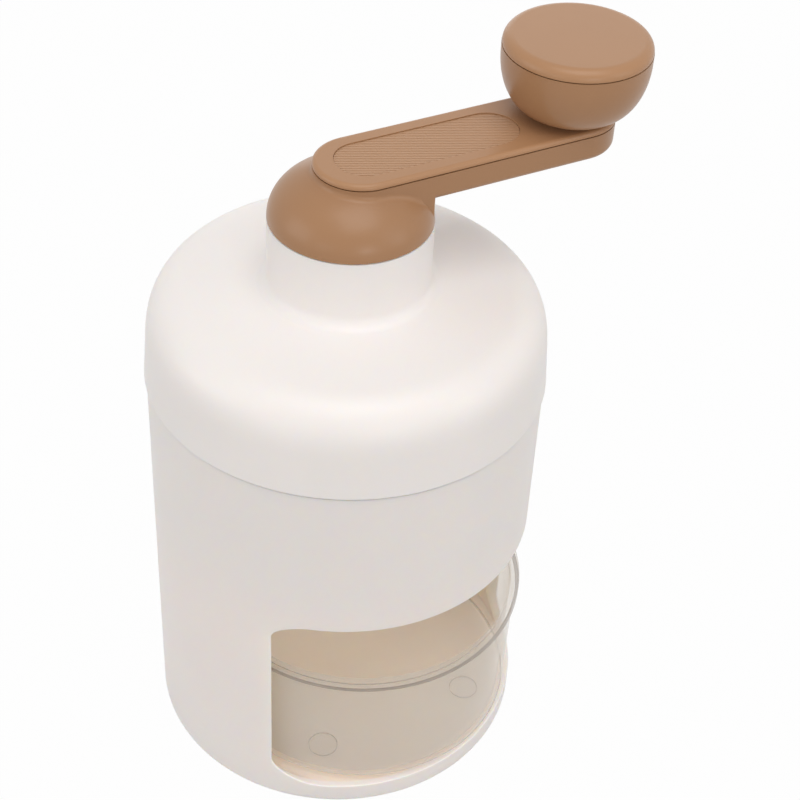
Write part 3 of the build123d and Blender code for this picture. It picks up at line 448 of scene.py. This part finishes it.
def clear_plastic():
    """Clear moulded plastic: faint where it is looked through, milky and glossy where it turns away."""
    material, tree, shader = new_material("clear_plastic")
    ripples = noise(tree, RIPPLE_SCALE, RIPPLE_DETAIL)
    tone = mottled(tree, ripples, CLEAR, CLEAR_MOTTLE)
    height = coordinates_apart(tree)[2]
    # painted shade: dark, more opaque lines at fixed heights
    painted_lines = painted_clear_lines(tree, height)
    tree.links.new(two_colours(tree, painted_lines, tone, CLEAR_PAINTED_LINE), shader.inputs["Base Color"])
    gloss = spread(tree, ripples, CLEAR_SMOOTHEST, CLEAR_ROUGHEST)
    tree.links.new(gloss, shader.inputs["Roughness"])
    edge = tree.nodes.new("ShaderNodeLayerWeight")
    edge.inputs["Blend"].default_value = CLEAR_TURN_BLEND
    milky = spread(tree, edge.outputs["Facing"], CLEAR_FACING, CLEAR_TURNED)
    with_painted_lines = combined(tree, "MULTIPLY_ADD", painted_lines, CLEAR_PAINTED_LINE_STRENGTH)
    tree.links.new(milky, with_painted_lines.node.inputs[2])
    tree.links.new(with_painted_lines, shader.inputs["Alpha"])
    bump(tree, shader, ripples, RIPPLE_STRENGTH, RIPPLE_DEPTH)
    return material


# ---------------------------------------------------------------- metals
BLADE_GREY = (0.72, 0.73, 0.74, 1)
STEEL_GREY = (0.64, 0.65, 0.66, 1)
SPRING_GREY = (0.60, 0.60, 0.61, 1)
BRASS_YELLOW = (0.78, 0.60, 0.30, 1)

MARK_SCALE = 900.0
MARK_DETAIL = 4.0
MARK_TONE = 0.06
MARK_SMOOTHER = 0.06                  # how far the brushing marks move the roughness down
MARK_ROUGHER = 0.08                   # and up
MARK_STRENGTH = 0.06
MARK_DEPTH = 0.05 * MM


def metal(name, colour, roughness):
    """Metal with fine brushing marks."""
    material, tree, shader = new_material(name)
    shader.inputs["Metallic"].default_value = 1.0
    marks = noise(tree, MARK_SCALE, MARK_DETAIL)
    tree.links.new(mottled(tree, marks, colour, MARK_TONE), shader.inputs["Base Color"])
    gloss = spread(tree, marks, roughness - MARK_SMOOTHER, roughness + MARK_ROUGHER)
    tree.links.new(gloss, shader.inputs["Roughness"])
    bump(tree, shader, marks, MARK_STRENGTH, MARK_DEPTH)
    return material


# ---------------------------------------------------------------- which node wears what
def dress(material, *names):
    for name in names:
        node = nodes[name]
        node.data.materials.clear()
        node.data.materials.append(material)


def dress_nodes():
    dress(housing_plastic(), "main_housing")
    dress(cover_plastic(), "top_cover")
    dress(moulded("base_plastic", WHITE, roughness=0.5), "base_plate")
    dress(moulded("inner_plastic", INNER_WHITE, roughness=0.45), "ice_chamber", "presser_plate")
    dress(brown_plastic("brown_plastic", BROWN), "arm_cover", "knob_cap")
    # Painted shade: the side-facing bowl and shell wear a darker copy of the brown.
    dress(brown_plastic("brown_painted_shade_plastic", BROWN_PAINTED_SHADE), "arm_shell", "knob_bowl")
    dress(moulded("inlay_plastic", INLAY_BROWN, roughness=0.42), "arm_inlay")
    dress(clear_plastic(), "ice_cup")
    dress(
        moulded("bearing_plastic", BEARING_WHITE, roughness=0.3),
        "upper_bush",
        "lower_bush",
        "knob_bush",
        "thrust_washer",
        "knob_spacer",
        "hub_washer",
    )
    dress(moulded("soft_pad", PAD_GREY, roughness=0.75), "base_pad", "cover_seal")
    dress(metal("blade_steel", BLADE_GREY, roughness=0.22), "shaving_blade", "presser_pins")
    dress(metal("brass", BRASS_YELLOW, roughness=0.3), "arm_insert")
    dress(
        metal("steel", STEEL_GREY, roughness=0.3),
        "base_screws",
        "blade_screws",
        "arm_screws",
        "drive_shaft",
        "hub_screw",
        "hub_screw_washer",
        "shaft_clip",
        "spring_seat",
        "end_washer",
        "end_screw",
        "knob_axle",
        "knob_washer",
    )


def add_spring():
    """The presser's spring, as a copy of its node with a mesh of its own, carried by the crank's body.
    """
    name = "presser_spring"
    coils = bpy.data.objects.new("spring_coils", nodes[name].data.copy())
    bpy.context.scene.collection.objects.link(coils)
    coils.data.materials.clear()
    coils.data.materials.append(metal("spring_steel", SPRING_GREY, roughness=0.3))
    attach(coils, "crank")
    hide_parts(name)
    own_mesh(coils)


bpy.context.scene.view_settings.view_transform = "Standard"
set_camera()
set_world()
add_softboxes()
add_bay_glow()
add_floor()
dress_nodes()
add_spring()
